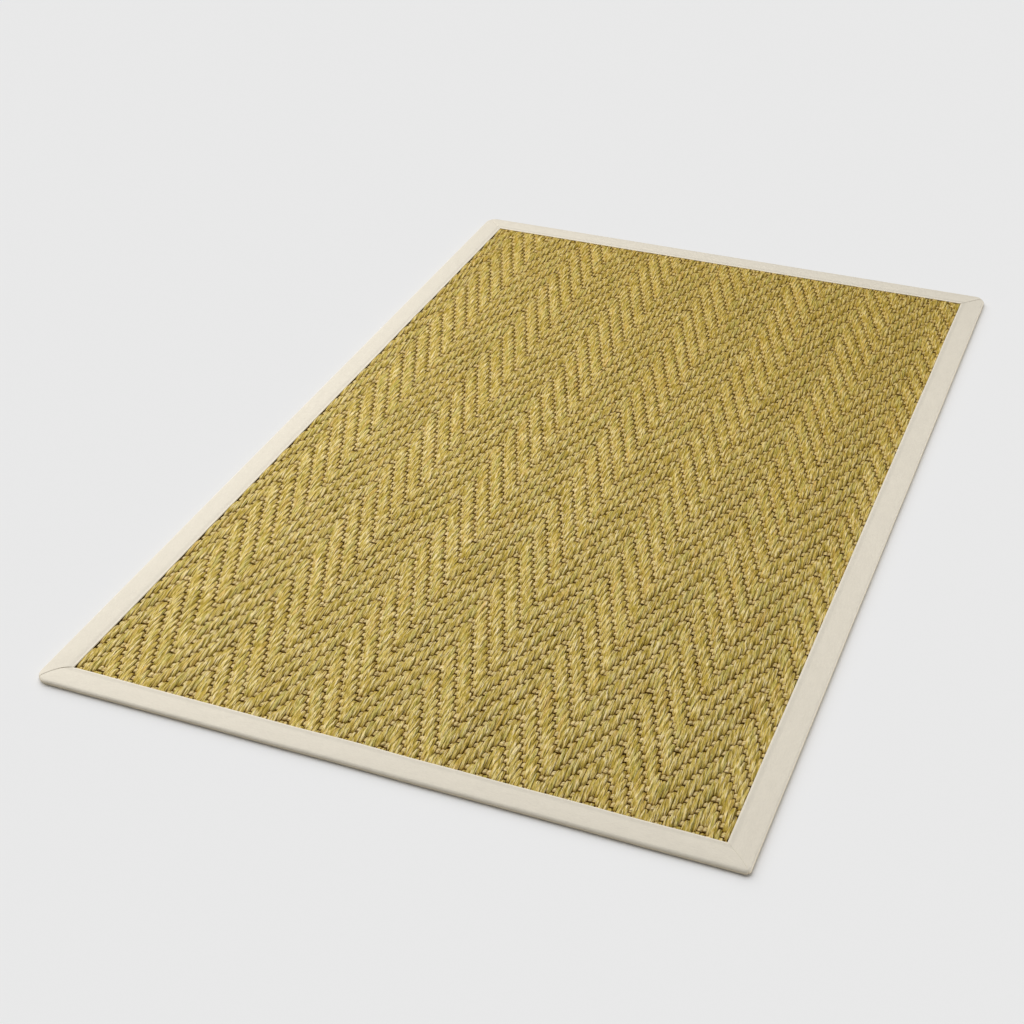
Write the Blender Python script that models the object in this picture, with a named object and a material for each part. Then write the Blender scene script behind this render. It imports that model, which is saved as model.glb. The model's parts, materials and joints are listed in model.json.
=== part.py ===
"""A flat seagrass rug: one panel of herringbone weave with a cotton tape folded round each edge.

X runs across the rug, Y along it from the front edge to the back, and Z up from the floor.
The origin is on the floor, under the middle of the rug. Lengths are in metres.
"""

import math

import bmesh
import bpy

# The whole rug
RUG_WIDTH = 0.762
RUG_LENGTH = 1.225
RUG_HEIGHT = 0.0068
FITTING_GAP = 0.0003

# The binding: one layer of tape below, two on top where its edge is turned under
BINDING_WIDTH = 0.030
TAPE_THICKNESS = 0.0010
HEM_THICKNESS = 2 * TAPE_THICKNESS
EDGE_WALL = 0.0015
TOP_EDGE_RADIUS = 0.0026
FOOT_EDGE_RADIUS = 0.0016
HEM_EDGE_RADIUS = 0.0007

# How round each corner is when seen from above, and its quarter turn in degrees
CORNERS = {
    "front_left": {"radius": 0.015, "side": (-1, -1), "turn": (180, 270)},
    "front_right": {"radius": 0.006, "side": (1, -1), "turn": (270, 360)},
    "back_right": {"radius": 0.015, "side": (1, 1), "turn": (0, 90)},
    "back_left": {"radius": 0.014, "side": (-1, 1), "turn": (90, 180)},
}
SMALLEST_CORNER_RADIUS = 0.0005
CORNER_STEPS = 8
EDGE_STEPS = 5

# Each tape runs from the middle of one corner to the middle of the next, along its direction
BINDINGS = {
    "binding_front": {"corners": ("front_left", "front_right"), "along": (1, 0)},
    "binding_right": {"corners": ("front_right", "back_right"), "along": (0, 1)},
    "binding_back": {"corners": ("back_right", "back_left"), "along": (-1, 0)},
    "binding_left": {"corners": ("back_left", "front_left"), "along": (0, -1)},
}

# The weave: yarns lie along the rug, and each float starts one weft further on than its neighbour
YARN_PITCH = 0.0045
WEFT_PITCH = 0.0109
YARNS_PER_STRIPE = 12
WEFTS_PER_REPEAT = 4
STRIPE_WIDTH = YARNS_PER_STRIPE * YARN_PITCH
RIB_PITCH = WEFTS_PER_REPEAT * WEFT_PITCH
RIB_SLOPE = WEFT_PITCH / YARN_PITCH
WEAVE_TOP = 0.0058
RIB_DEPTH = 0.0011

# One rib across its pitch: how far along it, and how high of the rib's depth
RIB_SECTION = (
    {"along": 0.00, "height": 0.00},
    {"along": 0.12, "height": 0.70},
    {"along": 0.30, "height": 1.00},
    {"along": 0.70, "height": 1.00},
    {"along": 0.88, "height": 0.70},
)

# What the sizes above leave. The panel's gap to the tapes is wider at its edges, because the tapes
# are drawn back from their mitres and so come nearer to its corners.
PANEL_GAP = 0.00048
FIELD_HALF_WIDTH = RUG_WIDTH / 2 - BINDING_WIDTH - PANEL_GAP
FIELD_HALF_LENGTH = RUG_LENGTH / 2 - BINDING_WIDTH - PANEL_GAP
BOUND_BOTTOM = TAPE_THICKNESS + FITTING_GAP
BOUND_TOP = RUG_HEIGHT - HEM_THICKNESS - FITTING_GAP

FINISHES = {
    "seagrass": {"color": (0.470, 0.350, 0.125, 1.0), "roughness": 0.72},
    "cotton_binding": {"color": (0.745, 0.690, 0.590, 1.0), "roughness": 0.88},
}
SHARP_ANGLE = math.radians(35)


def clear_scene():
    for old in list(bpy.data.objects):
        bpy.data.objects.remove(old, do_unlink=True)


def make_material(name):
    material = bpy.data.materials.new(name)
    material.use_nodes = True
    shader = material.node_tree.nodes["Principled BSDF"]
    shader.inputs["Base Color"].default_value = FINISHES[name]["color"]
    shader.inputs["Roughness"].default_value = FINISHES[name]["roughness"]
    shader.inputs["Metallic"].default_value = 0.0
    return material


def add_object(name, bm, parent, material=None):
    bmesh.ops.recalc_face_normals(bm, faces=bm.faces)
    mesh = bpy.data.meshes.new(name)
    bm.to_mesh(mesh)
    bm.free()
    mesh.shade_smooth()
    mesh.set_sharp_from_angle(angle=SHARP_ANGLE)
    if material:
        mesh.materials.append(material)
    obj = bpy.data.objects.new(name, mesh)
    bpy.context.collection.objects.link(obj)
    obj.parent = parent
    return obj


def corner_point(corner, inset, share):
    """Where a line at this inset from the rug's edge is, at a share of the corner's turn."""
    row = CORNERS[corner]
    tightened = row["radius"] * (1 - inset / BINDING_WIDTH)
    radius = max(tightened, SMALLEST_CORNER_RADIUS)
    start, end = row["turn"]
    angle = math.radians(start + (end - start) * share)
    centre_x = row["side"][0] * (RUG_WIDTH / 2 - inset - radius)
    centre_y = row["side"][1] * (RUG_LENGTH / 2 - inset - radius)
    return centre_x + radius * math.cos(angle), centre_y + radius * math.sin(angle)


def arc(centre_inset, centre_z, radius, start, end):
    """Points of a section's round edge as (inset, z), with angles in degrees from the rug's inside."""
    points = []
    for step in range(EDGE_STEPS + 1):
        angle = math.radians(start + (end - start) * step / EDGE_STEPS)
        points.append((centre_inset + radius * math.cos(angle), centre_z + radius * math.sin(angle)))
    return points


def binding_section():
    """The tape folded round the panel's edge, as (inset from the rug's edge, z)."""
    foot = arc(FOOT_EDGE_RADIUS, FOOT_EDGE_RADIUS, FOOT_EDGE_RADIUS, 270, 180)
    top = arc(TOP_EDGE_RADIUS, RUG_HEIGHT - TOP_EDGE_RADIUS, TOP_EDGE_RADIUS, 180, 90)
    hem_inset = BINDING_WIDTH - HEM_EDGE_RADIUS
    hem = arc(hem_inset, RUG_HEIGHT - HEM_EDGE_RADIUS, HEM_EDGE_RADIUS, 90, 0)
    inside = [
        (BINDING_WIDTH, RUG_HEIGHT - HEM_THICKNESS),
        (EDGE_WALL, RUG_HEIGHT - HEM_THICKNESS),
        (EDGE_WALL, TAPE_THICKNESS),
        (BINDING_WIDTH, TAPE_THICKNESS),
    ]
    return [(BINDING_WIDTH, 0.0)] + foot + top + hem + inside


def binding_stations(row):
    """Each station is (corner, share of its turn, which way it is drawn back from the mitre)."""
    first, last = row["corners"]
    half = CORNER_STEPS // 2
    leaving = [(first, step / CORNER_STEPS, 1) for step in range(half, CORNER_STEPS + 1)]
    arriving = [(last, step / CORNER_STEPS, -1) for step in range(half + 1)]
    return leaving + arriving


def make_binding(name, material, parent):
    row = BINDINGS[name]
    section = binding_section()
    draw_back = FITTING_GAP / 2 * math.sqrt(2)
    bm = bmesh.new()
    loops = []
    for corner, share, way in binding_stations(row):
        loop = []
        for inset, z in section:
            x, y = corner_point(corner, inset, share)
            x += row["along"][0] * way * draw_back
            y += row["along"][1] * way * draw_back
            loop.append(bm.verts.new((x, y, z)))
        loops.append(loop)
    count = len(section)
    for loop, following in zip(loops, loops[1:]):
        for i in range(count):
            j = (i + 1) % count
            bm.faces.new((loop[i], loop[j], following[j], following[i]))
    bm.faces.new(loops[0])
    bm.faces.new(loops[-1])
    return add_object(name, bm, parent, material)


def zigzag(x):
    """How far a rib has dropped back at x: nothing at the middle of the rug, most one stripe out."""
    return -RIB_SLOPE * abs((x + STRIPE_WIDTH) % (2 * STRIPE_WIDTH) - STRIPE_WIDTH)


def stripe_edges():
    """The field's two edges, and the lines between them where the ribs turn."""
    count = int(FIELD_HALF_WIDTH / STRIPE_WIDTH)
    turns = [i * STRIPE_WIDTH for i in range(-count, count + 1)]
    return [-FIELD_HALF_WIDTH] + turns + [FIELD_HALF_WIDTH]


def rib_rows():
    """Each row of the ribbed face as (how far along at the rug's middle, z)."""
    drop = RIB_SLOPE * STRIPE_WIDTH
    first = math.floor(-FIELD_HALF_LENGTH / RIB_PITCH) - 1
    last = math.ceil((FIELD_HALF_LENGTH + drop) / RIB_PITCH) + 1
    rows = []
    for rib in range(first, last):
        for point in RIB_SECTION:
            z = WEAVE_TOP - RIB_DEPTH * (1 - point["height"])
            rows.append(((rib + point["along"]) * RIB_PITCH, z))
    return rows


def close_below(bm):
    """Adds flat walls under the ribbed face's four sides, and one flat bottom on the floor."""
    half = (FIELD_HALF_WIDTH, FIELD_HALF_LENGTH)
    near = FITTING_GAP / 10
    top = list(bm.verts)
    feet = {}
    for side_x in (-1, 1):
        for side_y in (-1, 1):
            feet[side_x, side_y] = bm.verts.new((side_x * half[0], side_y * half[1], 0.0))
    for axis in (0, 1):
        other = 1 - axis
        for side in (-1, 1):
            rim = [v for v in top if abs(v.co[axis] - side * half[axis]) < near]
            rim.sort(key=lambda v: v.co[other])
            low = (side, -1) if axis == 0 else (-1, side)
            high = (side, 1) if axis == 0 else (1, side)
            bm.faces.new([feet[low]] + rim + [feet[high]])
    bm.faces.new((feet[-1, -1], feet[1, -1], feet[1, 1], feet[-1, 1]))


def ribbed_block():
    """The seen part of the panel: zigzag ribs above, flat below."""
    bm = bmesh.new()
    columns = stripe_edges()
    grid = []
    for along, z in rib_rows():
        grid.append([bm.verts.new((x, along + zigzag(x), z)) for x in columns])
    for row, following in zip(grid, grid[1:]):
        for i in range(len(columns) - 1):
            bm.faces.new((row[i], row[i + 1], following[i + 1], following[i]))
    for side in (-1, 1):
        bmesh.ops.bisect_plane(
            bm,
            geom=bm.verts[:] + bm.edges[:] + bm.faces[:],
            plane_co=(0, side * FIELD_HALF_LENGTH, 0),
            plane_no=(0, side, 0),
            clear_outer=True,
        )
    close_below(bm)
    return bm


def bound_slab():
    """The panel's edge all round, pressed thinner inside the folded tape."""
    inset = EDGE_WALL + PANEL_GAP
    outline = []
    for corner in CORNERS:
        for step in range(CORNER_STEPS + 1):
            outline.append(corner_point(corner, inset, step / CORNER_STEPS))
    bm = bmesh.new()
    low = [bm.verts.new((x, y, BOUND_BOTTOM)) for x, y in outline]
    high = [bm.verts.new((x, y, BOUND_TOP)) for x, y in outline]
    count = len(outline)
    for i in range(count):
        j = (i + 1) % count
        bm.faces.new((low[i], low[j], high[j], high[i]))
    bm.faces.new(low)
    bm.faces.new(high)
    return bm


def make_panel(material, parent):
    panel = add_object("woven_panel", ribbed_block(), parent, material)
    slab = add_object("bound_slab", bound_slab(), parent)
    slab.hide_render = True
    slab.display_type = "WIRE"
    union = panel.modifiers.new("joined_to_slab", "BOOLEAN")
    union.operation = "UNION"
    union.solver = "EXACT"
    union.object = slab
    return panel


def main():
    clear_scene()
    rug = bpy.data.objects.new("rug", None)
    bpy.context.collection.objects.link(rug)
    make_panel(make_material("seagrass"), rug)
    cotton = make_material("cotton_binding")
    for name in BINDINGS:
        make_binding(name, cotton, rug)


main()
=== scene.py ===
"""The looks of the seagrass rug: its woven yarns, its folded cotton tapes, and the studio round it.

X runs across the rug, Y along it from the front edge to the back, and Z up from the floor.
Lengths are in metres.
"""

import json
import math

import bpy
import numpy as np
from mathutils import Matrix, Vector

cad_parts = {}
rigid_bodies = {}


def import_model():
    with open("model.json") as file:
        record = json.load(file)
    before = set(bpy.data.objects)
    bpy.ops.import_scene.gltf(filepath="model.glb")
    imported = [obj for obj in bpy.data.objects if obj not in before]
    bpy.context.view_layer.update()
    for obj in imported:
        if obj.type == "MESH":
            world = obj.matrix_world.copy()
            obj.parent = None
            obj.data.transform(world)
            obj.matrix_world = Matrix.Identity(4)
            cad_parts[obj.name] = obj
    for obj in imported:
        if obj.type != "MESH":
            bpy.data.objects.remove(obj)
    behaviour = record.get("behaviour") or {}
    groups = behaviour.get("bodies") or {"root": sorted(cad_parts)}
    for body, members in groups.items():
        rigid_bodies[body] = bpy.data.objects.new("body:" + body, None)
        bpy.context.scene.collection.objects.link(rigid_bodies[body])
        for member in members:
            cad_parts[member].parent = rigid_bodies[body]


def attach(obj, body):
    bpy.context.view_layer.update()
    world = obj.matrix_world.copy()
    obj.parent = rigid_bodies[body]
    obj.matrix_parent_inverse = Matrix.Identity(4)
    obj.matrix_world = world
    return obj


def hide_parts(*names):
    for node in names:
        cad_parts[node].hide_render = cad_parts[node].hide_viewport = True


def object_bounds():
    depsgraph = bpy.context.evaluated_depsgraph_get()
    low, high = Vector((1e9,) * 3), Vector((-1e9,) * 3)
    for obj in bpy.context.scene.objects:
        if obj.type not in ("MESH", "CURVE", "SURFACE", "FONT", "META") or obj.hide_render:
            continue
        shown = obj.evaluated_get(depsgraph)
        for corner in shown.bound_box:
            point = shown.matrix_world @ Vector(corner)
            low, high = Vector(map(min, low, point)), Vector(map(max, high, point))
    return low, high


bl_info = {
    "name": "Seagrass rug",
    "version": (1, 0, 0),
    "blender": (4, 5, 0),
    "location": "3D View > Sidebar > Rug",
    "description": "Weaves a herringbone seagrass rug, binds it in cotton tape and lights it",
    "category": "Add Mesh",
}

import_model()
CAD_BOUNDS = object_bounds()

# The rug is as large as the solids. The field of the weave ends a small gap short of the tapes
RUG_WIDTH = CAD_BOUNDS[1].x - CAD_BOUNDS[0].x
RUG_LENGTH = CAD_BOUNDS[1].y - CAD_BOUNDS[0].y
RUG_HEIGHT = CAD_BOUNDS[1].z - CAD_BOUNDS[0].z
BINDING_WIDTH = 0.030
FITTING_GAP = 0.0003
FIELD_HALF_LENGTH = RUG_LENGTH / 2 - BINDING_WIDTH - FITTING_GAP
# Each corner's radius at the rug's edge, which way it lies from the middle of the rug, and the
# angles between which it turns
CORNERS = {
    "front_left": {"radius": 0.015, "side": (-1, -1), "turn": (180, 270)},
    "front_right": {"radius": 0.006, "side": (1, -1), "turn": (270, 360)},
    "back_right": {"radius": 0.015, "side": (1, 1), "turn": (0, 90)},
    "back_left": {"radius": 0.014, "side": (-1, 1), "turn": (90, 180)},
}
SMALLEST_CORNER_RADIUS = 0.0008
CORNER_STEPS = 12
# Each corner's mitre: which tape lies over the other there and how far it rises, how far its end
# is bowed past the 45 degree line, and how wide the seam is
MITRES = {
    "front_left": {"over": "binding_left", "rise": 0.00026, "bow": -0.0052, "gap": 0.00010},
    "front_right": {"over": "binding_front", "rise": 0.00002, "bow": 0.0010, "gap": 0.00002},
    "back_right": {"over": "binding_back", "rise": 0.00022, "bow": 0.0010, "gap": 0.0003},
    "back_left": {"over": "binding_back", "rise": 0.00002, "bow": 0.0010, "gap": 0.00002},
}
# The corners that each tape runs between, and which way it runs
BINDINGS = {
    "binding_front": {"corners": ("front_left", "front_right"), "along": (1, 0)},
    "binding_right": {"corners": ("front_right", "back_right"), "along": (0, 1)},
    "binding_back": {"corners": ("back_right", "back_left"), "along": (-1, 0)},
    "binding_left": {"corners": ("back_left", "front_left"), "along": (0, -1)},
}

# The weave: yarns lie along the rug, and each passes under every fourth weft
YARN_PITCH = 0.0045
WEFT_PITCH = 0.0109
YARNS_PER_STRIPE = 12
WEFTS_PER_REPEAT = 4
STRIPE_WIDTH = YARNS_PER_STRIPE * YARN_PITCH
RIB_PITCH = WEFTS_PER_REPEAT * WEFT_PITCH
RIB_SLOPE = WEFT_PITCH / YARN_PITCH
YARN_COUNT = 156
# How far a yarn's strands lean from its length
STRAND_LEAN = math.radians(5)

# A yarn's flattened section, from the middle of its underside and round it
SECTION_X = np.array((0.0, 1.0, 0.79, 0.0, -0.79, -1.0))
SECTION_Z = np.array((-1.0, 0.00, 0.76, 1.0, 0.76, 0.00))
SECTION_ANGLES = np.radians((-90, 0, 45, 90, 135, 180))
YARN_HALF_WIDTH = 0.0025
YARN_HALF_HEIGHT = 0.0020
# How high the middle of a yarn is on a float, and under a weft
YARN_CREST = 0.0040
YARN_DIP = 0.0005
# How far a float spreads over the yarn beside it where that yarn dips, and over what length
SPREAD = 0.0003
SPREAD_REACH = 0.0085
# Rings along a yarn, from the middle of a crossing to the middle of a float: how far along,
# and, as shares, how high and how wide
YARN_RINGS = (
    (0.0, 0.00, 0.56),
    (0.0030, 0.03, 0.56),
    (0.0042, 0.24, 0.69),
    (0.0054, 0.60, 0.95),
    (0.0088, 0.78, 1.05),
    (0.0140, 0.93, 1.13),
    (RIB_PITCH / 2, 1.00, 1.20),
)
# How far each ring strays up or down, how much each of its corners strays as a share of its
# size, and how its stray to either side is blended with that of the rings by it
RING_LIFT = 0.00012
RING_ROUGHNESS = 0.03
WANDER_BLEND = np.ones(5) / 3
# How much of a yarn's unevenness its height takes on
UNEVEN_HEIGHT = 0.6

# A weft where it shows, from one yarn beside it to the other: how far, how thick, how far it
# has sunk
WEFT_RINGS = np.array((
    (-0.0030, 0.74, 0.0021),
    (-0.0015, 0.90, 0.0010),
    (0.0004, 1.00, 0.0),
    (0.0020, 1.00, 0.0001),
    (0.0036, 0.88, 0.0011),
))
WEFT_HALF_LENGTH = 0.0037
WEFT_HALF_HEIGHT = 0.0018
WEFT_HEIGHT = 0.0034
# How much the wefts differ: in place, in slope across the yarn, in half length and half height
# as shares, and in height above the floor
WEFT_STRAY = 0.0004
WEFT_SLOPE = 0.07
WEFT_LENGTH_VARIES = 0.10
WEFT_HEIGHT_VARIES = 0.06
WEFT_LIFT = 0.0001
# No yarn or weft reaches lower than this, inside the thin flat weave behind them
UNDERSIDE = 0.0003

# The seeds of the strands differ by this much from yarn to yarn, from a yarn to its wefts, from
# weft to weft and from tape to tape. A weft's seed is past that of every yarn's, by more than
# the margin
YARN_SEED_STEP = 3.7
YARN_TO_WEFT_SEED = 0.9
WEFT_SEED_STEP = 1.7
TAPE_SEED_STEP = 5.3
WEFT_SEED = 1000.0
WEFT_SEED_MARGIN = 10
# The bake map: how much of it the wefts take up, and how much of its own strip each yarn or
# weft fills
WEFT_SHARE_OF_MAP = 0.14
YARN_MAP_SPAN = (0.04, 0.96)
WEFT_MAP_SPAN = (0.1, 0.9)

# How the yarns end inside the folded tape: how far in they run, how short of their ends the last
# ring may be, how far before the tape they start to sink and over what length, to what height,
# and how much thinner they get as a share
YARN_TUCK = 0.004
END_CLEARANCE = 0.001
SINKING_START = 0.002
SINKING_LENGTH = 0.003
TUCKED_HEIGHT = 0.0030
TUCKED_THINNING = 0.3
# The thin flat weave behind the yarns, and its edge inside the tapes
GROUND_TOP = 0.0018
GROUND_EDGE_INSET = 0.0018
GROUND_EDGE_BOTTOM = 0.0013

# The tape: one thickness of cloth folded round the edge and turned under at its upper edge
TAPE_THICKNESS = 0.0009
TAPE_STEP = 0.008
FOOT_EDGE_RADIUS = 0.0030
TOP_EDGE_RADIUS = 0.0026
TURN_RADIUS = 0.00095
TURN_UNDER = 0.011
# How far the tape's top lies below the rug's full height: how far in from the edge, how far down
TAPE_FALL = (
    (0.0, 0.00070),
    (0.0021, 0.00040),
    (0.0050, 0.00018),
    (0.0090, 0.00004),
    (0.0130, 0.00000),
    (0.0180, 0.00006),
    (0.0230, 0.00026),
    (0.0262, 0.00052),
    (0.0276, 0.00058),
    (0.0288, 0.00040),
    (0.0300, 0.00030),
)
# The height from which the tape counts as its upper side, and over what rise it comes to do so
# in full
UPPER_SIDE_START = 0.002
UPPER_SIDE_RISE = 0.002
# How far in from each end the tape rises over, or sinks under, its neighbour, how far in it bows,
# and how far in its edges wander less
MITRE_RISE_REACH = 0.014
MITRE_BOW_REACH = 0.022
WANDER_EASING = 0.03
# How thick the tape is near its folded end: how far from the end, and what share
END_ROUNDING = ((0.0, 0.15), (0.00015, 0.60), (0.00035, 0.85), (0.0007, 1.0))
# How many stations lie between a mitre and the straight, and at how many points a seam is read
MITRE_STATIONS = len(END_ROUNDING) + CORNER_STEPS // 2
SEAM_SAMPLES = 200
# The seed of the tapes' wander, counted from the rug's, how many waves the wander of the edges
# and the ripple of the top are made of, and how far the outer wall wanders as a share of the
# inner edge
TAPES_SEED = 100
WANDER_WAVES = 7
RIPPLE_WAVES = 12
WALL_WANDER = 0.5
# The small pleat in the front tape's wall beside the front left corner
PLEAT_PLACE = 0.030
PLEAT_HALF_WIDTH = 0.0014
PLEAT_DEPTH = 0.0008
PLEAT_REACH = 0.006

# The marks in the materials: how many to the metre one way and the other, a start that sets them
# apart from the rest, and how much fine detail they have
MARKS = {
    "strand": (360.0, 45.0, 0.0, 1.0),
    "streak": (620.0, 75.0, 31.0, 2.0),
    "hair": (1200.0, 140.0, 57.0, 2.0),
    "odd": (260.0, 16.0, 83.0, 0.0),
    "underside": (40.0, 700.0, 0.0, 2.0),
    "slub": (260.0, 900.0, 0.0, 2.0),
    "crease": (55.0, 90.0, 11.0, 3.0),
}
# Where the odd marks turn a strand green, and where they turn it russet, and how much
GREEN_MARKS = (0.61, 0.70)
RUSSET_MARKS = (0.24, 0.30)
ODD_STRENGTH = 0.6
# How much of the weft's paler colour it shows, partly the weft's own colour and partly a painted
# highlight on the tops of its knobs
WEFT_PALENESS_AND_HIGHLIGHT = 0.45
# The heights between which the painted shade low in the gaps between the yarns fades, and the
# tones between which the tint of the dark marks does
SHADED_GAP_HEIGHTS = (0.0024, 0.0054)
DARK_TONES = (0.80, 1.35)
# Between which lengths toward the back the painted warm light on the rug comes in, and how much a
# length toward the right counts in them
FAR_SPAN = (-0.4, 0.8)
FAR_TO_RIGHT = 0.6
# How soft the line between two stripes is, the tone of the stripes left in painted shade, and how
# much paler the others are as painted light
STRIPE_SOFTNESS = 0.15
SHADED_STRIPE_TONE = 0.96
STRIPE_PAINTED_LIGHT = 0.08
# The tape's threads, and the heights between which the painted warm shade at its foot fades
THREAD_PITCH = 0.0011
FOOT_SHADE_HEIGHTS = (0.002, 0.0058)
# Between which distances before the cloth's turned edge it gets a painted highlight, where the
# rounded turn catches the light, and between which painted shade, in the slight trough before it,
# and by how much
HIGHLIGHT_BY_TURN = (0.0026, 0.0010)
SHADE_BY_TURN = (0.0080, 0.0040)
HIGHLIGHT_STEP = 0.15
SHADE_STEP = 0.08
# How deep the bump of each material is
SEAGRASS_BUMP = 0.0032
FINE_BUMP = 0.0008

# The studio's floor, wide enough that its edge stays near the skyline, and just below the rug
FLOOR_HALF_WIDTH = 80
FLOOR_HEIGHT = -0.0002
# Where the key light's lamp stands makes no difference to its light
KEY_DISTANCE = 3
# In millimetres, as the lens is
SENSOR_WIDTH = 36.0


def length_setting(name, description, default):
    return bpy.props.FloatProperty(
        name=name, description=description, default=default, unit="LENGTH", precision=5
    )


def colour_setting(name, description, default):
    return bpy.props.FloatVectorProperty(
        name=name, description=description, default=default, subtype="COLOR"
    )


class RugSizes(bpy.types.PropertyGroup):
    """How the rug's yarns and tapes vary."""

    seed: bpy.props.IntProperty(
        name="Seed",
        description="Starts the random numbers that make each yarn a little different",
        default=4,
    )
    yarn_wander: length_setting(
        "Yarn wander", "How far a yarn strays to either side of its place", 0.00017
    )
    yarn_lift: length_setting(
        "Yarn lift", "How much higher or lower one float of a yarn lies than another", 0.0002
    )
    yarn_unevenness: bpy.props.FloatProperty(
        name="Yarn unevenness",
        description="How much thicker or thinner a yarn gets, as a share of its thickness",
        default=0.07,
    )
    tape_wander: length_setting(
        "Tape wander", "How far the tape's edges stray from a straight line", 0.0003
    )
    tape_ripple: length_setting(
        "Tape ripple", "How much the top of the tape rises and falls along the edge", 0.00012
    )


class RugColours(bpy.types.PropertyGroup):
    """The colours of the seagrass, of the cotton and of the floor, and the tints over them, among them
    painted shade and painted light.
    """

    straw: colour_setting("Straw", "The palest seagrass", (0.735, 0.603, 0.355))
    olive: colour_setting("Olive", "The usual olive gold of dry seagrass", (0.625, 0.466, 0.188))
    # Paler partly as its own colour and partly as a painted highlight on the knobs' tops
    weft: colour_setting("Weft", "The paler strands that cross the yarns", (0.84, 0.68, 0.42))
    shade: colour_setting("Shade", "The darkest strands", (0.46, 0.330, 0.080))
    green: colour_setting("Green", "Strands that dried green", (0.52, 0.45, 0.18))
    russet: colour_setting("Russet", "Strands that turned orange brown", (0.61, 0.40, 0.15))
    cotton: colour_setting("Cotton", "The undyed cotton tape", (0.722, 0.668, 0.563))
    floor: colour_setting("Floor", "The plain pale floor", (0.85, 0.85, 0.85))
    # Painted shade, darker and more saturated low down between the yarns
    painted_gap_shade: colour_setting(
        "Painted gap shade", "What the seagrass takes on low down between the yarns", (0.47, 0.30, 0.0)
    )
    # Painted warm light toward the rug's back right
    painted_far_light: colour_setting(
        "Far painted light", "What the seagrass takes on toward the rug's back right", (0.955, 0.91, 0.72)
    )
    dark_tint: colour_setting(
        "Dark tint", "What the darker marks on the strands take on", (1.0, 1.0, 0.45)
    )
    # Painted shade on the top of the flat weave, where it shows in the gaps
    painted_underside_shade: colour_setting(
        "Underside painted shade", "What the flat weave takes on where it shows in the gaps", (0.56, 0.38, 0.0)
    )
    # Painted warm shade on the tape's wall toward the floor
    painted_foot_shade: colour_setting(
        "Painted foot shade", "What the tape takes on toward the floor", (0.96, 0.91, 0.80)
    )
    sheen_tint: colour_setting(
        "Sheen tint", "The colour of the seagrass's faint sheen", (1.0, 0.85, 0.35)
    )


class StudioSettings(bpy.types.PropertyGroup):
    """The lights and the camera."""

    key_strength: bpy.props.FloatProperty(
        name="Key strength",
        description="Strength of the light on the floor, which stands back and left of the rug",
        default=2.768,
    )
    key_elevation: bpy.props.FloatProperty(
        name="Key elevation",
        description="How high above the floor that light stands",
        default=math.radians(48),
        subtype="ANGLE",
    )
    key_direction: bpy.props.FloatProperty(
        name="Key direction",
        description="How far that light stands round from the rug's left side to its back",
        default=math.radians(45),
        subtype="ANGLE",
    )
    key_softness: bpy.props.FloatProperty(
        name="Key softness",
        description="How wide that light is, seen from the rug",
        default=math.radians(75),
        subtype="ANGLE",
    )
    strip_power: bpy.props.FloatProperty(
        name="Strip power",
        description="Power of the long soft light on the rug, along its left side",
        default=78.0,
        unit="POWER",
    )
    strip_place: bpy.props.FloatVectorProperty(
        name="Strip place",
        description="Where the long soft light hangs",
        default=(-1.6, -0.07, 2.2),
        subtype="XYZ",
        unit="LENGTH",
    )
    strip_size: bpy.props.FloatVectorProperty(
        name="Strip size",
        description="How wide and how long the long soft light is",
        default=(0.7, 2.6),
        size=2,
        unit="LENGTH",
    )
    side_power: bpy.props.FloatProperty(
        name="Side power",
        description="Power of the low light on the tapes from the rug's right side",
        default=26.0,
        unit="POWER",
    )
    side_place: bpy.props.FloatVectorProperty(
        name="Side place",
        description="Where the low light stands",
        default=(2.3, 0.2, 0.5),
        subtype="XYZ",
        unit="LENGTH",
    )
    side_size: bpy.props.FloatVectorProperty(
        name="Side size",
        description="How wide and how high the low light is",
        default=(1.6, 0.6),
        size=2,
        unit="LENGTH",
    )
    fill_strength: bpy.props.FloatProperty(
        name="Fill strength",
        description="Strength of the even light from all round",
        default=0.30,
    )
    lens: bpy.props.FloatProperty(
        name="Lens",
        description="The camera's focal length in millimetres",
        default=63.64,
    )
    camera_place: bpy.props.FloatVectorProperty(
        name="Camera place",
        description="Where the camera stands",
        default=(0.63096, -1.78051, 1.16867),
        subtype="XYZ",
        unit="LENGTH",
    )
    camera_turn: bpy.props.FloatVectorProperty(
        name="Camera turn",
        description="How the camera is turned about each axis",
        default=(math.radians(56.6488), math.radians(0.3726), math.radians(22.0)),
        subtype="EULER",
    )


class Amount:
    """A number or colour that changes over a surface. Sums written with it become nodes."""

    def __init__(self, finish, socket):
        self.finish = finish
        self.socket = socket

    def maths(self, operation, *values):
        return self.finish.node("ShaderNodeMath", {"operation": operation}, dict(enumerate(values)))

    def __add__(self, other):
        return self.maths("ADD", self, other)

    def __radd__(self, other):
        return self.maths("ADD", other, self)

    def __sub__(self, other):
        return self.maths("SUBTRACT", self, other)

    def __rsub__(self, other):
        return self.maths("SUBTRACT", other, self)

    def __mul__(self, other):
        return self.maths("MULTIPLY", self, other)

    def sine(self):
        return self.maths("SINE", self)

    def between(self, low, high):
        """0 below low and 1 above high, with a smooth rise between."""
        settings = {"interpolation_type": "SMOOTHSTEP"}
        sockets = {"Value": self, "From Min": low, "From Max": high}
        return self.finish.node("ShaderNodeMapRange", settings, sockets)


def as_colour(value):
    return value if isinstance(value, Amount) else (*value, 1.0)


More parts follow.
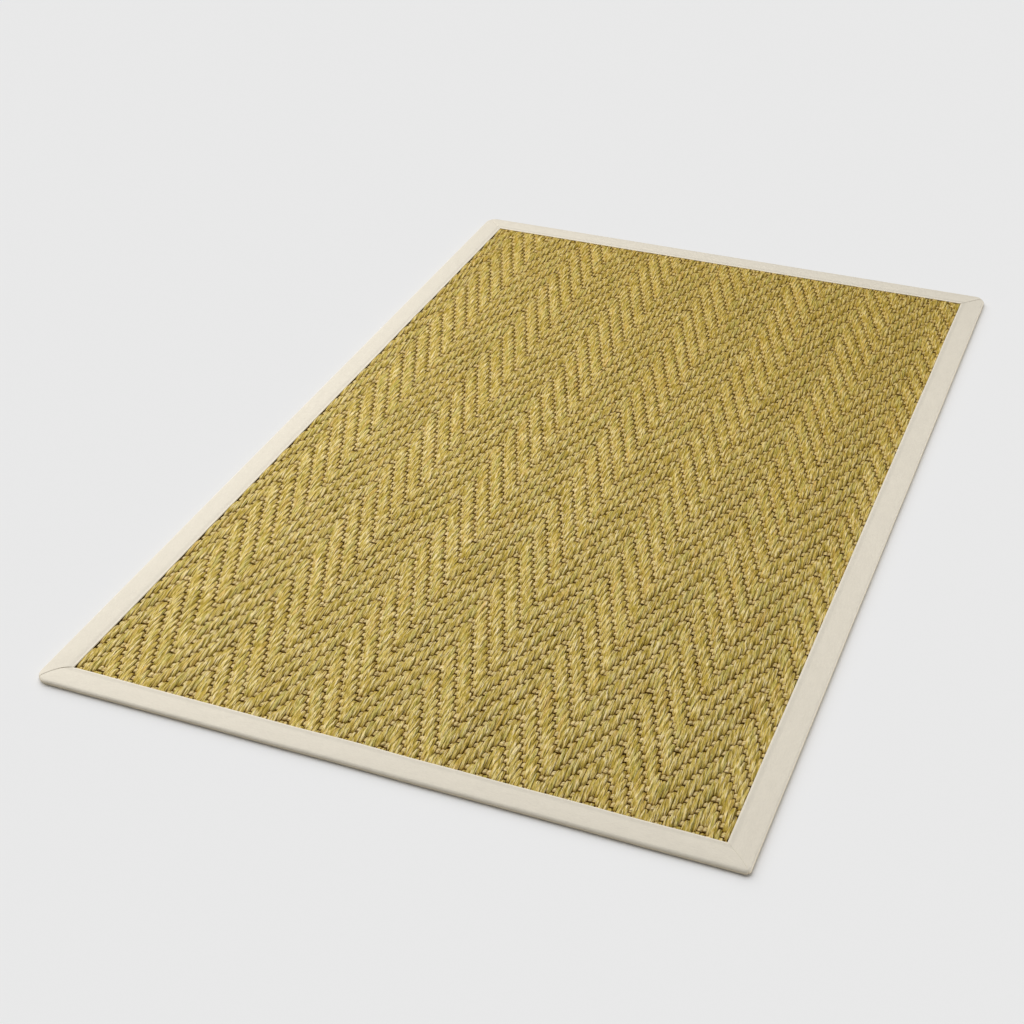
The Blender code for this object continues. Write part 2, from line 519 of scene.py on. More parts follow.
class Finish:
    """A material, and the nodes that give it its look."""

    def __init__(self, name):
        self.material = bpy.data.materials.new(name)
        self.material.use_nodes = True
        self.tree = self.material.node_tree
        self.shader = self.tree.nodes["Principled BSDF"]

    def fill(self, node, sockets):
        for name, value in sockets.items():
            if isinstance(value, Amount):
                self.tree.links.new(value.socket, node.inputs[name])
            else:
                node.inputs[name].default_value = value

    def node(self, kind, settings, sockets, output=0):
        """Adds a node of this kind, makes its settings, then fills its sockets."""
        node = self.tree.nodes.new(kind)
        for name, value in settings.items():
            if name == "stops":
                self.set_stops(node.color_ramp, value)
            else:
                setattr(node, name, value)
        self.fill(node, sockets)
        return Amount(self, node.outputs[output])

    def set_stops(self, ramp, stops):
        while len(ramp.elements) < len(stops):
            ramp.elements.new(1.0)
        for element, (position, colour) in zip(ramp.elements, stops):
            element.position = position
            element.color = as_colour(colour)

    def mixed(self, share, first, second):
        """A colour between two colours."""
        sockets = {0: share, 6: as_colour(first), 7: as_colour(second)}
        return self.node("ShaderNodeMix", {"data_type": "RGBA"}, sockets, output=2)

    def tinted(self, colour, tint, share=1.0):
        """A colour multiplied by a tint, by a share of its full effect."""
        settings = {"data_type": "RGBA", "blend_type": "MULTIPLY"}
        sockets = {0: share, 6: as_colour(colour), 7: as_colour(tint)}
        return self.node("ShaderNodeMix", settings, sockets, output=2)

    def toned(self, colour, tone):
        """A colour made darker or lighter by a grey tone."""
        return self.tinted(colour, self.node("ShaderNodeCombineColor", {}, {0: tone, 1: tone, 2: tone}))

    def split(self, vector):
        """The three numbers of a vector."""
        return [self.node("ShaderNodeSeparateXYZ", {}, {0: vector}, output=i) for i in range(3)]

    def carried(self, name):
        """The three numbers that the mesh carries under this name at each point."""
        return self.split(self.node("ShaderNodeAttribute", {"attribute_name": name}, {}, "Vector"))

    def place(self):
        """Where each point is on the rug."""
        return self.split(self.node("ShaderNodeTexCoord", {}, {}, "Object"))

    def marks(self, kind, first, second, seed):
        """Marks of this kind, laid out by two lengths on the surface."""
        one_way, other_way, start, detail = MARKS[kind]
        sockets = {0: first * one_way, 1: second * other_way, 2: seed + start}
        vector = self.node("ShaderNodeCombineXYZ", {}, sockets)
        sockets = {"Vector": vector, "Scale": 1.0, "Detail": detail}
        return self.node("ShaderNodeTexNoise", {}, sockets)

    def bump(self, height, distance):
        return self.node("ShaderNodeBump", {}, {"Height": height, "Distance": distance})


def seagrass_finish():
    """Dry twisted grass: strands of several tones that lean a little along each yarn.

    Every other stripe of the herringbone is painted a little paler, as painted light: its strands
    lie with its ribs and catch the light differently from those of the next, which lie against
    them. Painted shade darkens the strands low in the gaps, and painted warm light makes the rug a
    little richer toward its back right.
    """
    colours = bpy.context.scene.rug_colours
    finish = Finish("twisted_seagrass")
    across, along, seed = finish.carried("fibre")
    strand = finish.marks("strand", across, along, seed)
    streak = finish.marks("streak", across, along, seed)
    hair = finish.marks("hair", across, along, seed)
    odd = finish.marks("odd", across, along, seed)
    weft = seed.between(WEFT_SEED - WEFT_SEED_MARGIN, WEFT_SEED)
    x, y, height = finish.place()

    stops = [(0.40, colours.shade), (0.50, colours.olive), (0.60, colours.straw)]
    shade = strand * 0.20 + streak * 0.80
    colour = finish.node("ShaderNodeValToRGB", {"stops": stops}, {"Fac": shade})
    colour = finish.mixed(odd.between(*GREEN_MARKS) * ODD_STRENGTH, colour, colours.green)
    russet = ODD_STRENGTH - odd.between(*RUSSET_MARKS) * ODD_STRENGTH
    colour = finish.mixed(russet, colour, colours.russet)
    # The wefts are paler, partly their own colour and partly a painted highlight on the knobs
    colour = finish.mixed(weft * WEFT_PALENESS_AND_HIGHLIGHT, colour, colours.weft)
    # Painted shade: the strands darken and deepen in colour low down in the gaps
    colour = finish.tinted(colour, colours.painted_gap_shade, 1 - height.between(*SHADED_GAP_HEIGHTS))
    # Painted warm light, coming in toward the rug's back right
    far = (y + x * FAR_TO_RIGHT).between(*FAR_SPAN)
    colour = finish.tinted(colour, colours.painted_far_light, far)
    # The weft term lightens the wefts a little more, partly own paleness and partly painted highlight
    tone = 0.30 + hair * 1.12 + streak * 0.40 + weft * 0.10
    colour = finish.tinted(colour, colours.dark_tint, 1 - tone.between(*DARK_TONES))
    # Painted light: every other stripe is paler, as its ribs catch the light differently
    stripe = (x * (math.pi / STRIPE_WIDTH)).sine().between(-STRIPE_SOFTNESS, STRIPE_SOFTNESS)
    finish.fill(finish.shader, {
        "Base Color": finish.toned(colour, tone * (SHADED_STRIPE_TONE + stripe * STRIPE_PAINTED_LIGHT)),
        "Roughness": 0.55,
        "Specular IOR Level": 0.22,
        "Specular Tint": as_colour(colours.sheen_tint),
        "Normal": finish.bump(strand * 0.7 + streak * 1.2 + hair * 0.40, SEAGRASS_BUMP),
    })
    return finish.material


def backing_finish():
    """The underside of the weave, and what shows in the gaps between the yarns, where its top is
    darkened by painted shade.
    """
    colours = bpy.context.scene.rug_colours
    finish = Finish("seagrass_underside")
    x, y, z = finish.carried("place")
    strand = finish.marks("underside", x, y, z)
    colour = finish.mixed(strand, colours.shade, colours.olive)
    row = (y * (2 * math.pi / WEFT_PITCH)).sine()
    finish.fill(finish.shader, {
        # Painted shade: the top of the flat weave, seen in the gaps, is darkened
        "Base Color": finish.tinted(colour, colours.painted_underside_shade, z.between(0.0, GROUND_TOP)),
        "Roughness": 0.8,
        "Specular IOR Level": 0.2,
        "Normal": finish.bump(row + strand, FINE_BUMP),
    })
    return finish.material


def cotton_finish():
    """Matt plain-woven cotton, with its threads and a little creasing, a painted highlight and painted
    shade by its turned edge, and painted warm shade toward the floor.
    """
    colours = bpy.context.scene.rug_colours
    finish = Finish("woven_cotton")
    along, across, seed = finish.carried("cloth")
    thread = 2 * math.pi / THREAD_PITCH
    weave = (along * thread).sine() * (across * thread).sine()
    slub = finish.marks("slub", along, across, seed)
    crease = finish.marks("crease", along, across, seed)
    turn = turned_edge()
    # A painted highlight on the rounded turned edge, and painted shade in the slight trough before it
    light = across.between(*(turn - before for before in HIGHLIGHT_BY_TURN)) * HIGHLIGHT_STEP
    dark = across.between(*(turn - before for before in SHADE_BY_TURN)) * SHADE_STEP
    tone = 0.90 + slub * 0.12 + weave * 0.02 + crease * 0.06 + light - dark
    height = finish.place()[2]
    colour = finish.toned(colours.cotton, tone)
    # Painted warm shade: the tape darkens and warms toward the floor
    colour = finish.tinted(colour, colours.painted_foot_shade, 1 - height.between(*FOOT_SHADE_HEIGHTS))
    finish.fill(finish.shader, {
        "Base Color": colour,
        "Roughness": 0.9,
        "Specular IOR Level": 0.2,
        "Normal": finish.bump(weave * 0.10 + slub * 0.25 + crease * 0.9, FINE_BUMP),
    })
    return finish.material


def floor_finish():
    """A floor without any shine."""
    finish = Finish("pale_floor")
    finish.fill(finish.shader, {
        "Base Color": as_colour(bpy.context.scene.rug_colours.floor),
        "Roughness": 1.0,
        "Specular IOR Level": 0.0,
    })
    return finish.material


def link_object(name, data):
    """Puts an object with this mesh, light or camera into the scene."""
    obj = bpy.data.objects.new(name, data)
    bpy.context.collection.objects.link(obj)
    return obj


class Body:
    """Gathers closed tubes into one piece.

    A tube is a grid of points, its rings along it and each ring's corners counterclockwise as
    seen from its first end. With them come what the material reads at each point, and where
    each corner lies on the bake map, with one column more for the seam.
    """

    def __init__(self):
        self.points = []
        self.faces = []
        self.coordinates = []
        self.maps = []
        self.count = 0

    def add_tubes(self, grids, coordinates, places):
        tubes, rings, corners = grids.shape[:3]
        number = np.arange(tubes * rings * corners).reshape(tubes, rings, corners) + self.count
        beside = np.roll(number, -1, axis=2)
        walls = (number[:, :-1], number[:, 1:], beside[:, 1:], beside[:, :-1])
        self.faces.append(np.stack(walls, axis=-1).reshape(-1, 4))
        mapped = (places[:, :-1, :-1], places[:, 1:, :-1], places[:, 1:, 1:], places[:, :-1, 1:])
        self.maps.append(np.stack(mapped, axis=-2).reshape(-1, 4, 2))
        for i in range(corners // 2 - 1):
            cap = [i, i + 1, corners - 2 - i, corners - 1 - i]
            for ring, order in ((0, cap), (rings - 1, cap[::-1])):
                self.faces.append(number[:, ring, order])
                self.maps.append(places[:, ring, order])
        self.points.append(grids.reshape(-1, 3))
        self.coordinates.append(coordinates.reshape(-1, 3))
        self.count += number.size

    def finish(self, name, coordinate_name, material):
        mesh = bpy.data.meshes.new(name)
        mesh.from_pydata(np.concatenate(self.points), [], np.concatenate(self.faces))
        carried = mesh.attributes.new(coordinate_name, "FLOAT_VECTOR", "POINT")
        carried.data.foreach_set("vector", np.concatenate(self.coordinates).ravel().astype("f4"))
        bake_map = mesh.uv_layers.new(name="OFBake")
        bake_map.uv.foreach_set("vector", np.concatenate(self.maps).ravel().astype("f4"))
        mesh.shade_smooth()
        mesh.materials.append(material)
        return link_object(name, mesh)


def zigzag(x):
    """How far a rib has dropped back at x: nothing at the middle of the rug, most one stripe out."""
    return -RIB_SLOPE * abs((x + STRIPE_WIDTH) % (2 * STRIPE_WIDTH) - STRIPE_WIDTH)


def crossings(x, limit):
    """Where, no further out than limit, the wefts pass over the yarn at x."""
    first = math.ceil((-limit - zigzag(x)) / RIB_PITCH)
    last = math.floor((limit - zigzag(x)) / RIB_PITCH)
    return np.arange(first, last + 1) * RIB_PITCH + zigzag(x)


def grid_places(us, vs):
    """The bake map places of one tube, from its columns and its rings."""
    return np.stack(np.broadcast_arrays(us[None, :], vs[:, None]), axis=-1)


def spread(along, x, side):
    """How far the yarn at x spreads to this side, where its neighbour there dips."""
    dips = zigzag(x + side * YARN_PITCH)
    away = (along - dips + RIB_PITCH / 2) % RIB_PITCH - RIB_PITCH / 2
    return SPREAD * np.cos(np.clip(away / SPREAD_REACH, -1, 1) * math.pi / 2) ** 2


def by_strand(around, along):
    """A place on a yarn, measured across its leaning strands and then along them."""
    return (
        around * math.cos(STRAND_LEAN) + along * math.sin(STRAND_LEAN),
        along * math.cos(STRAND_LEAN) - around * math.sin(STRAND_LEAN),
    )


def yarn_rings(x, limit, random):
    """The rings of the yarn at x: how far along, how high, how far aside, and half their sizes."""
    sizes = bpy.context.scene.rug_sizes
    middles = crossings(x, limit + RIB_PITCH)
    before = [(-far, high, wide) for far, high, wide in YARN_RINGS[-2:0:-1]]
    far, high, wide = np.array(before + list(YARN_RINGS)).T
    along = (middles[:, None] + far).ravel()
    swell = np.repeat(random.normal(0, sizes.yarn_unevenness, len(middles)), len(far))
    kept = np.abs(along) < limit - END_CLEARANCE
    along = np.concatenate([[-limit], along[kept], [limit]])
    high, wide = (np.pad(np.tile(row, len(middles))[kept], 1, mode="edge") for row in (high, wide))
    swell = 1 + np.pad(swell[kept], 1, mode="edge")
    swell += random.normal(0, sizes.yarn_unevenness / 2, len(along))

    height = YARN_DIP + (YARN_CREST - YARN_DIP) * high + random.normal(0, RING_LIFT, len(along))
    height += np.interp(along, middles, random.normal(0, sizes.yarn_lift, len(middles))) * high
    tucked = (np.abs(along) - FIELD_HALF_LENGTH + SINKING_START) / SINKING_LENGTH
    tucked = np.clip(tucked, 0, 1)
    height += (np.minimum(height, TUCKED_HEIGHT) - height) * tucked

    aside = random.normal(0, sizes.yarn_wander, len(along))
    aside = np.convolve(aside, WANDER_BLEND, mode="same")
    left, right = spread(along, x, -1), spread(along, x, 1)
    aside += (right - left) / 2
    half_width = YARN_HALF_WIDTH * swell * wide + (right + left) / 2
    half_height = YARN_HALF_HEIGHT * (1 - UNEVEN_HEIGHT + UNEVEN_HEIGHT * swell)
    half_height *= 1 - TUCKED_THINNING * tucked
    return along, height, aside, half_width, half_height


def add_yarn(body, x, seed, random, column, columns):
    """One yarn, from end to end of the rug, dipping under the wefts that cross it."""
    limit = FIELD_HALF_LENGTH + YARN_TUCK
    rings = yarn_rings(x, limit, random)
    along, height, aside, half_width, half_height = (row[:, None] for row in rings)
    rough = 1 + random.normal(0, RING_ROUGHNESS, (len(along), len(SECTION_ANGLES)))
    grid = np.empty((1, len(along), len(SECTION_ANGLES), 3))
    grid[0, :, :, 0] = x + aside + half_width * SECTION_X * rough
    grid[0, :, :, 1] = along
    grid[0, :, :, 2] = np.maximum(height + half_height * SECTION_Z * rough, UNDERSIDE)
    around = (math.pi / 2 - SECTION_ANGLES)[None, :] * YARN_HALF_WIDTH
    fibre = np.empty_like(grid)
    fibre[0, :, :, 0], fibre[0, :, :, 1] = by_strand(around, along)
    fibre[0, :, :, 2] = seed
    us = (column + np.linspace(*YARN_MAP_SPAN, len(SECTION_ANGLES) + 1)) / columns
    vs = (along[:, 0] + limit) / (2 * limit)
    body.add_tubes(grid, fibre, grid_places(us * (1 - WEFT_SHARE_OF_MAP), vs)[None])


def add_wefts(body, x, seed, random, column, columns):
    """The short stretches of weft that show where they pass over the yarn at x."""
    middles = crossings(x, FIELD_HALF_LENGTH + YARN_TUCK / 2)
    count = len(middles)
    far, thick, sunk = WEFT_RINGS.T[:, None, :, None]
    middle = (middles + random.normal(0, WEFT_STRAY, count))[:, None, None]
    slope = random.normal(0, WEFT_SLOPE, count)[:, None, None]
    longer = (1 + random.normal(0, WEFT_LENGTH_VARIES, count))[:, None, None]
    higher = (1 + random.normal(0, WEFT_HEIGHT_VARIES, count))[:, None, None]
    height = WEFT_HEIGHT + random.normal(0, WEFT_LIFT, count)[:, None, None]
    grids = np.empty((count, len(WEFT_RINGS), len(SECTION_ANGLES), 3))
    grids[..., 0] = x + far
    grids[..., 1] = middle + far * slope - WEFT_HALF_LENGTH * longer * thick * SECTION_X
    bottom_to_top = WEFT_HALF_HEIGHT * higher * thick * SECTION_Z
    grids[..., 2] = np.maximum(height - sunk + bottom_to_top, UNDERSIDE)
    fibre = np.empty_like(grids)
    fibre[..., 0], fibre[..., 1] = by_strand(SECTION_ANGLES * WEFT_HALF_LENGTH, far)
    fibre[..., 2] = seed + WEFT_SEED_STEP * np.arange(count)[:, None, None] + WEFT_SEED
    us = (column + np.linspace(*WEFT_MAP_SPAN, len(WEFT_RINGS))) / columns
    us = 1 + WEFT_SHARE_OF_MAP * (us - 1)
    vs = np.linspace(*WEFT_MAP_SPAN, len(SECTION_ANGLES) + 1)
    vs = (np.arange(count)[:, None] + vs) / count
    places = np.stack(np.broadcast_arrays(us[None, :, None], vs[:, None, :]), axis=-1)
    body.add_tubes(grids, fibre, places)


def make_chevron(name, yarns, random, material):
    """The yarns from one turn of the herringbone to the next."""
    body = Body()
    for column, yarn in enumerate(yarns):
        x = (yarn + 0.5 - YARN_COUNT / 2) * YARN_PITCH
        seed = yarn * YARN_SEED_STEP
        add_yarn(body, x, seed, random, column, len(yarns))
        add_wefts(body, x, seed + YARN_TO_WEFT_SEED, random, column, len(yarns))
    return body.finish(name, "fibre", material)


def chevrons():
    """The yarn numbers of each chevron, from the left edge."""
    turn = YARN_COUNT // 2 - YARNS_PER_STRIPE
    first = turn % (2 * YARNS_PER_STRIPE)
    edges = [0, *range(first, YARN_COUNT, 2 * YARNS_PER_STRIPE), YARN_COUNT]
    return [range(low, high) for low, high in zip(edges, edges[1:])]


def corner_radius(corner, inset):
    """The radius of a corner on a line at this inset from the rug's edge."""
    radius = CORNERS[corner]["radius"] * (1 - inset / BINDING_WIDTH)
    return np.maximum(radius, SMALLEST_CORNER_RADIUS)


def corner_point(corner, inset, share):
    """Where a line at this inset from the rug's edge is, at a share of the corner's turn."""
    row = CORNERS[corner]
    radius = corner_radius(corner, inset)
    start, end = row["turn"]
    angle = np.radians(start + (end - start) * share)
    x = row["side"][0] * (RUG_WIDTH / 2 - inset - radius) + radius * np.cos(angle)
    y = row["side"][1] * (RUG_LENGTH / 2 - inset - radius) + radius * np.sin(angle)
    return np.stack([x, y], axis=-1)


def make_ground(material):
    """The thin flat weave behind the yarns, which runs on inside the tapes."""
    loops = (
        (BINDING_WIDTH + FITTING_GAP, 0.0),
        (BINDING_WIDTH + FITTING_GAP, GROUND_EDGE_BOTTOM),
        (GROUND_EDGE_INSET, GROUND_EDGE_BOTTOM),
        (GROUND_EDGE_INSET, GROUND_TOP),
    )
    grid = []
    for inset, z in loops:
        outline = []
        for corner in CORNERS:
            for step in range(CORNER_STEPS + 1):
                outline.append((*corner_point(corner, inset, step / CORNER_STEPS), z))
        grid.append(outline[::-1])
    grid = np.array(grid)[None]

    # On the bake map the two lower loops have the right half and the two upper ones the left
    places = np.concatenate([grid, grid[:, :, :1]], axis=2)[..., :2]
    places = places / (RUG_WIDTH, RUG_LENGTH) + 0.5
    places[:, :2, :, 0] = 0.5 + places[:, :2, :, 0] / 2
    places[:, 2:, :, 0] = places[:, 2:, :, 0] / 2
    body = Body()
    body.add_tubes(grid, grid, places)
    return body.finish("woven_ground", "place", material)


def arc(inset, z, radius, start, end, steps):
    """Points round part of a circle about this inset and height."""
    angles = np.radians(np.linspace(start, end, steps + 1))
    return np.stack([inset + radius * np.cos(angles), z + radius * np.sin(angles)], axis=-1)


def run(first, last, z, steps):
    """Points between two insets at one height, without the ends."""
    insets = np.linspace(first, last, steps + 1)[1:-1]
    return np.stack([insets, np.full(len(insets), z)], axis=-1)


def tape_line():
    """The middle of the tape's thickness across the fold, from its lower edge to its turned end."""
    half = TAPE_THICKNESS / 2
    turn_inset = BINDING_WIDTH - TURN_RADIUS
    turn_height = RUG_HEIGHT - TURN_RADIUS
    end_height = turn_height - TURN_RADIUS + half
    foot = arc(FOOT_EDGE_RADIUS, FOOT_EDGE_RADIUS, FOOT_EDGE_RADIUS - half, 270, 180, 4)
    top = arc(TOP_EDGE_RADIUS, RUG_HEIGHT - TOP_EDGE_RADIUS, TOP_EDGE_RADIUS - half, 180, 90, 6)
    turn = arc(turn_inset, turn_height, TURN_RADIUS - half, 90, -90, 6)
    return np.concatenate([
        [(BINDING_WIDTH, half)],
        run(BINDING_WIDTH, FOOT_EDGE_RADIUS, half, 4),
        foot,
        top,
        run(TOP_EDGE_RADIUS, turn_inset, RUG_HEIGHT - half, 11),
        turn,
        run(turn_inset, BINDING_WIDTH - TURN_UNDER, end_height, 3),
        [(BINDING_WIDTH - TURN_UNDER, end_height)],
    ])


def tape_section():
    """The tape's middle line, which way its outer side faces, and how far across the cloth."""
    line = tape_line()
    steps = np.diff(line, axis=0)
    lengths = np.linalg.norm(steps, axis=1)
    steps /= lengths[:, None]
    tangent = np.concatenate([steps[:1], steps[:-1] + steps[1:], steps[-1:]])
    tangent /= np.linalg.norm(tangent, axis=1)[:, None]
    outward = np.stack([-tangent[:, 1], tangent[:, 0]], axis=-1)
    return line, outward, np.concatenate([[0], np.cumsum(lengths)])


def turned_edge():
    """How far across the cloth its upper edge turns under."""
    line, outward, across = tape_section()
    upper = len(line) // 2
    return across[upper + np.argmax(line[upper:, 0])]


def cloth_outline(stations):
    """The outline of the folded cloth at each station along it, thinner at the tape's two ends.

    For each of its points: how far in from the rug's edge, how high, and how far across the cloth.
    """
    line, outward, across = tape_section()
    outward = np.concatenate([outward, -outward[::-1]]) * TAPE_THICKNESS / 2
    line = np.concatenate([line, line[::-1]])
    across = np.concatenate([across, across[::-1]])
    rounding = [share for far, share in END_ROUNDING]
    thick = np.ones((stations, 1))
    thick[:len(rounding), 0] = rounding
    thick[-len(rounding):, 0] = rounding[::-1]
    inset = line[:, 0] + outward[:, 0] * thick
    height = line[:, 1] + outward[:, 1] * thick
    return inset, height, across


def waves(random, along, amount, longest, count):
    """A gentle wander along the tape, from this many waves, the longest of this length."""
    total = np.zeros(len(along))
    for wave in range(1, count + 1):
        height = random.normal(0, amount / math.sqrt(count))
        phase = random.uniform(0, 2 * math.pi)
        total += height * np.sin(2 * math.pi * along * wave / longest + phase)
    return total[:, None]


def mitre_shift(corner, inset, over):
    """How far a tape's end stands past the 45 degree line at each inset."""

    def diagonal(at):
        return at + corner_radius(corner, at) * (1 - math.sqrt(0.5))

    def bow(at):
        return MITRES[corner]["bow"] * np.sin(math.pi * np.clip(at / BINDING_WIDTH, 0, 1))

    if over:
        return bow(inset)
    fine = np.linspace(0, BINDING_WIDTH, SEAM_SAMPLES)
    seam_along = diagonal(fine)
    seam_across = diagonal(fine) - bow(fine)
    return diagonal(inset) - np.interp(diagonal(inset), seam_across, seam_along)


def from_mitre(corner, inset, distance, way, direction):
    """Where each line of the tape is at this distance from a mitre, going this way along it."""
    quarter = corner_radius(corner, inset) * math.pi / 4
    share = 0.5 + way * np.clip(distance / quarter, 0, 1) / 2
    straight = np.maximum(distance - quarter, 0) * way
    return corner_point(corner, inset, share) + straight[..., None] * direction


def mitre_distances(corner, inset):
    """How far each station by a mitre is from it, on each line of the tape."""
    shares = np.linspace(0, 1, CORNER_STEPS // 2 + 1)[1:, None]
    curve = corner_radius(corner, inset) * math.pi / 4 * shares + END_ROUNDING[-1][0]
    return np.concatenate([[np.full(inset.shape[-1], far) for far, share in END_ROUNDING], curve])


def tape_plan(name, inset):
    """Where each point of the cloth's outline is in plan, without any wander or bow."""
    first, last = BINDINGS[name]["corners"]
    direction = np.array(BINDINGS[name]["along"])
    distance = mitre_distances(first, inset[:1])
    leaving = from_mitre(first, inset[:MITRE_STATIONS], distance, 1, direction)
    distance = mitre_distances(last, inset[:1])[::-1]
    arriving = from_mitre(last, inset[-MITRE_STATIONS:], distance, -1, direction)
    count = len(inset) - 2 * MITRE_STATIONS + 1
    shares = (np.arange(1, count) / count)[:, None, None]
    between = leaving[-1] + (arriving[0] - leaving[-1]) * shares
    return np.concatenate([leaving, between, arriving])


def make_tape(name, number, random, material):
    """One tape, swept along its edge from mitre to mitre."""
    sizes = bpy.context.scene.rug_sizes
    first, last = BINDINGS[name]["corners"]
    direction = np.array(BINDINGS[name]["along"])
    inward = np.array((-direction[1], direction[0]))
    whole = RUG_WIDTH if direction[0] else RUG_LENGTH
    between_mitres = round(whole / TAPE_STEP) - CORNER_STEPS // 2 - 1
    inset, height, across = cloth_outline(2 * MITRE_STATIONS + between_mitres)
    plan = tape_plan(name, inset)
    along = plan @ direction
    middle = along[:, len(across) // 4]
    from_start = along - along[0]
    from_end = along[-1] - along

    # The wander of the outer wall and of the inner edge
    edge = np.clip(inset / BINDING_WIDTH, 0, 1)
    wall = waves(random, middle, sizes.tape_wander * WALL_WANDER, whole, WANDER_WAVES) * (1 - edge)
    hem = waves(random, middle, sizes.tape_wander, whole, WANDER_WAVES) * edge
    easing = np.clip(np.minimum(from_start, from_end) / WANDER_EASING, 0, 1)
    plan = plan + ((wall + hem) * easing)[..., None] * inward

    # The puffed top and its gentle ripple
    upper = np.clip((height - UPPER_SIDE_START) / UPPER_SIDE_RISE, 0, 1)
    height = height - np.interp(inset, *np.array(TAPE_FALL).T) * upper
    hump = np.sin(math.pi * edge) * upper
    height = height + waves(random, middle, sizes.tape_ripple, whole / 2, RIPPLE_WAVES) * hump

    # The mitres' bow and seam, and where one tape lies over the next
    push = 0
    for corner, away, way in ((first, from_start, -1), (last, from_end, 1)):
        mitre = MITRES[corner]
        over = mitre["over"] == name
        past = mitre_shift(corner, inset, over) - mitre["gap"] / math.sqrt(2)
        push = push + way * past * np.clip(1 - away / MITRE_BOW_REACH, 0, 1)
        near = np.clip(1 - away / MITRE_RISE_REACH, 0, 1)
        rise = mitre["rise"] * (1 if over else -1)
        height = height + rise * near * near * (3 - 2 * near) * upper
    plan = plan + push[..., None] * direction
    if name == "binding_front":
        pleat = np.exp(-((from_start - PLEAT_PLACE) / PLEAT_HALF_WIDTH) ** 2) * PLEAT_DEPTH
        pleat = pleat * np.clip(1 - inset / PLEAT_REACH, 0, 1)
        plan = plan + pleat[..., None] * inward

    grid = np.concatenate([plan, height[..., None]], axis=-1)[None]
    seed = number * TAPE_SEED_STEP
    cloth = np.stack(np.broadcast_arrays(along, across, seed), axis=-1)[None]
    vs = (middle - middle[0]) / (middle[-1] - middle[0])
    us = np.linspace(0, 1, len(across) + 1)
    body = Body()
    body.add_tubes(grid, cloth, grid_places(us, vs)[None])
    return body.finish(name.replace("binding", "tape"), "cloth", material)


class RUG_OT_weave(bpy.types.Operator):
    """Weaves the seagrass and hides the plain panel that it stands for"""

    bl_idname = "rug.weave"
    bl_label = "Weave the seagrass"

    def execute(self, context):
        random = np.random.default_rng(context.scene.rug_sizes.seed)
        ground = make_ground(backing_finish())
        seagrass = seagrass_finish()
        woven = [
            make_chevron(f"weave_chevron_{number}", yarns, random, seagrass)
            for number, yarns in enumerate(chevrons(), start=1)
        ]
        for piece in [ground, *woven]:
            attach(piece, "root")
            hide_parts("woven_panel")
        return {"FINISHED"}


class RUG_OT_bind(bpy.types.Operator):
    """Folds the cotton tapes round the rug's four edges"""

    bl_idname = "rug.bind"
    bl_label = "Fold on the cotton tapes"

    def execute(self, context):
        random = np.random.default_rng(context.scene.rug_sizes.seed + TAPES_SEED)
        cotton = cotton_finish()
        cloth_width = tape_section()[2][-1]
        for number, (name, row) in enumerate(BINDINGS.items(), start=1):
            tape = make_tape(name, number, random, cotton)
            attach(tape, "root")
            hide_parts(name)
        return {"FINISHED"}


def lay_floor():
    """A plain floor, which isn't part of the rug."""
    half = FLOOR_HALF_WIDTH
    corners = [(-half, -half), (half, -half), (half, half), (-half, half)]
    mesh = bpy.data.meshes.new("floor")
    mesh.from_pydata([(x, y, FLOOR_HEIGHT) for x, y in corners], [], [(0, 1, 2, 3)])
    mesh.materials.append(floor_finish())
    floor = link_object("floor", mesh)
    return floor


def add_fill_light(strength):
    """An even white light from all round."""
    world = bpy.data.worlds.new("studio")
    bpy.context.scene.world = world
    world.use_nodes = True
    background = world.node_tree.nodes["Background"]
    background.inputs["Color"].default_value = (1, 1, 1, 1)
    background.inputs["Strength"].default_value = strength


def turn_to_face(lamp, towards_light):
    """Turns a lamp so that it shines against this direction."""
    lamp.rotation_mode = "QUATERNION"
    lamp.rotation_quaternion = towards_light.to_track_quat("Z", "Y")


def add_key_light(settings):
    """A wide soft light from far away."""
    light = bpy.data.lights.new("key", "SUN")
    light.energy = settings.key_strength
    light.angle = settings.key_softness
    lamp = link_object("key", light)
    level = math.cos(settings.key_elevation)
    towards_light = Vector((
        -level * math.cos(settings.key_direction),
        level * math.sin(settings.key_direction),
        math.sin(settings.key_elevation),
    ))
    lamp.location = towards_light * KEY_DISTANCE
    turn_to_face(lamp, towards_light)
    return lamp


def add_area_light(name, power, place, size):
    """A soft light that faces the middle of the rug."""
    light = bpy.data.lights.new(name, "AREA")
    light.energy = power
    light.shape = "RECTANGLE"
    light.size, light.size_y = size
    lamp = link_object(name, light)
    lamp.location = place
    lamp.visible_camera = False
    turn_to_face(lamp, lamp.location)
    return lamp


def light_only(lamp, objects, state):
    """Lets a lamp light only these objects, or all but these."""
    lit = bpy.data.collections.new(lamp.name + "_lit")
    for obj in objects:
        lit.objects.link(obj)
    for row in lit.collection_objects:
        row.light_linking.link_state = state
    lamp.light_linking.receiver_collection = lit


def add_camera(settings):
    """The camera, where the photo's stood."""
    camera = link_object("camera", bpy.data.cameras.new("camera"))
    camera.data.lens = settings.lens
    camera.data.sensor_width = SENSOR_WIDTH
    camera.location = settings.camera_place
    camera.rotation_euler = settings.camera_turn
    bpy.context.scene.camera = camera


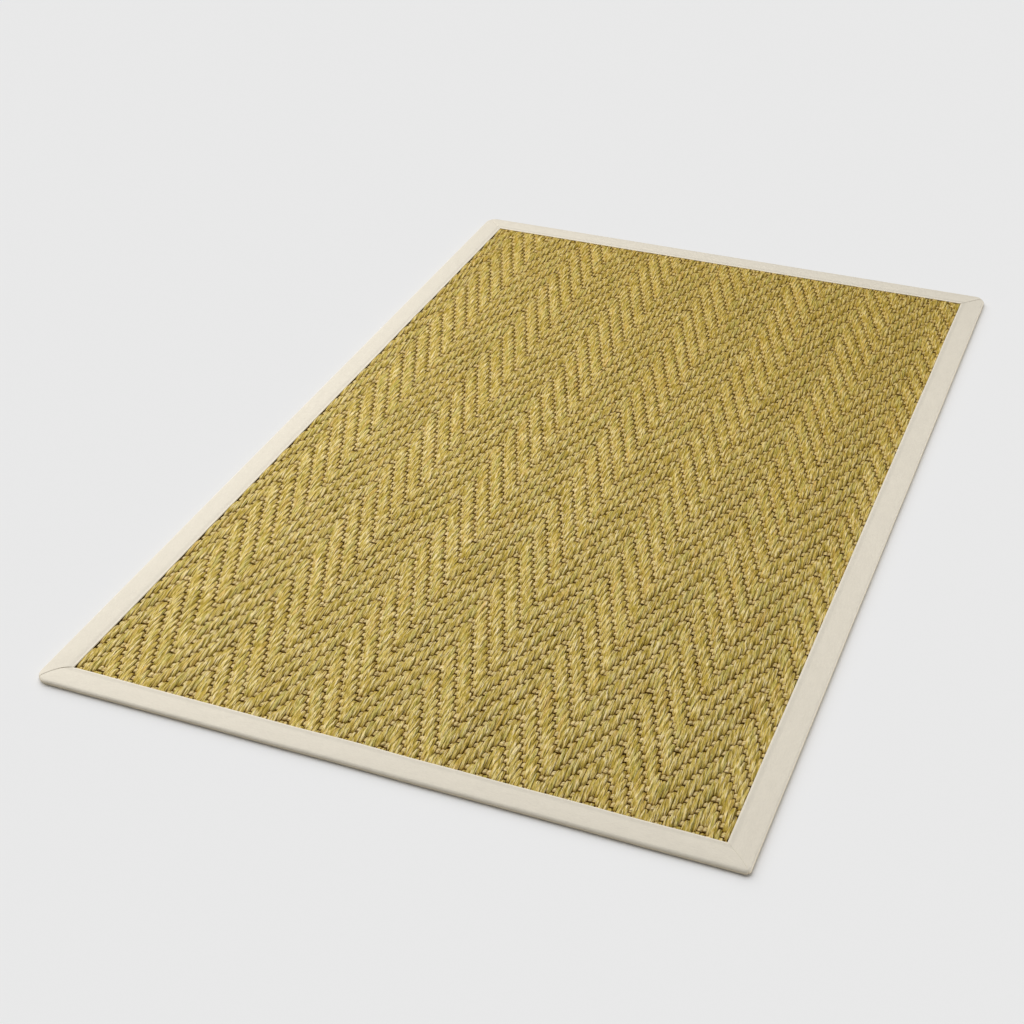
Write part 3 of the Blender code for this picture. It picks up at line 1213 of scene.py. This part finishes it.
class RUG_OT_studio(bpy.types.Operator):
    """Sets the floor, the lights and the camera"""

    bl_idname = "rug.studio"
    bl_label = "Set up the studio"

    def execute(self, context):
        settings = context.scene.rug_studio
        context.scene.view_settings.view_transform = "Standard"
        floor = lay_floor()
        add_fill_light(settings.fill_strength)
        key = add_key_light(settings)
        strip = add_area_light("strip", settings.strip_power, settings.strip_place, settings.strip_size)
        side = add_area_light("side", settings.side_power, settings.side_place, settings.side_size)

        # The key lights only the floor, the strip all but the floor and the side light only the
        # tapes, so that the floor stays even
        tapes = [bpy.data.objects[name.replace("binding", "tape")] for name in BINDINGS]
        light_only(key, [floor], "INCLUDE")
        light_only(strip, [floor], "EXCLUDE")
        light_only(side, tapes, "INCLUDE")
        add_camera(settings)
        return {"FINISHED"}


class RUG_PT_rug(bpy.types.Panel):
    """The rug's settings and the buttons that build it"""

    bl_idname = "RUG_PT_rug"
    bl_label = "Seagrass rug"
    bl_space_type = "VIEW_3D"
    bl_region_type = "UI"
    bl_category = "Rug"

    def draw(self, context):
        scene = context.scene
        for settings in (scene.rug_sizes, scene.rug_colours, scene.rug_studio):
            column = self.layout.column()
            for name in settings.bl_rna.properties.keys():
                if name not in ("rna_type", "name"):
                    column.prop(settings, name)
        for operator in (RUG_OT_weave, RUG_OT_bind, RUG_OT_studio):
            self.layout.operator(operator.bl_idname)


CLASSES = (
    RugSizes,
    RugColours,
    StudioSettings,
    RUG_OT_weave,
    RUG_OT_bind,
    RUG_OT_studio,
    RUG_PT_rug,
)


def register():
    for each in CLASSES:
        bpy.utils.register_class(each)
    bpy.types.Scene.rug_sizes = bpy.props.PointerProperty(type=RugSizes)
    bpy.types.Scene.rug_colours = bpy.props.PointerProperty(type=RugColours)
    bpy.types.Scene.rug_studio = bpy.props.PointerProperty(type=StudioSettings)


def unregister():
    del bpy.types.Scene.rug_studio
    del bpy.types.Scene.rug_colours
    del bpy.types.Scene.rug_sizes
    for each in reversed(CLASSES):
        bpy.utils.unregister_class(each)


def main():
    register()
    bpy.ops.rug.weave()
    bpy.ops.rug.bind()
    bpy.ops.rug.studio()


if __name__ == "__main__":
    main()
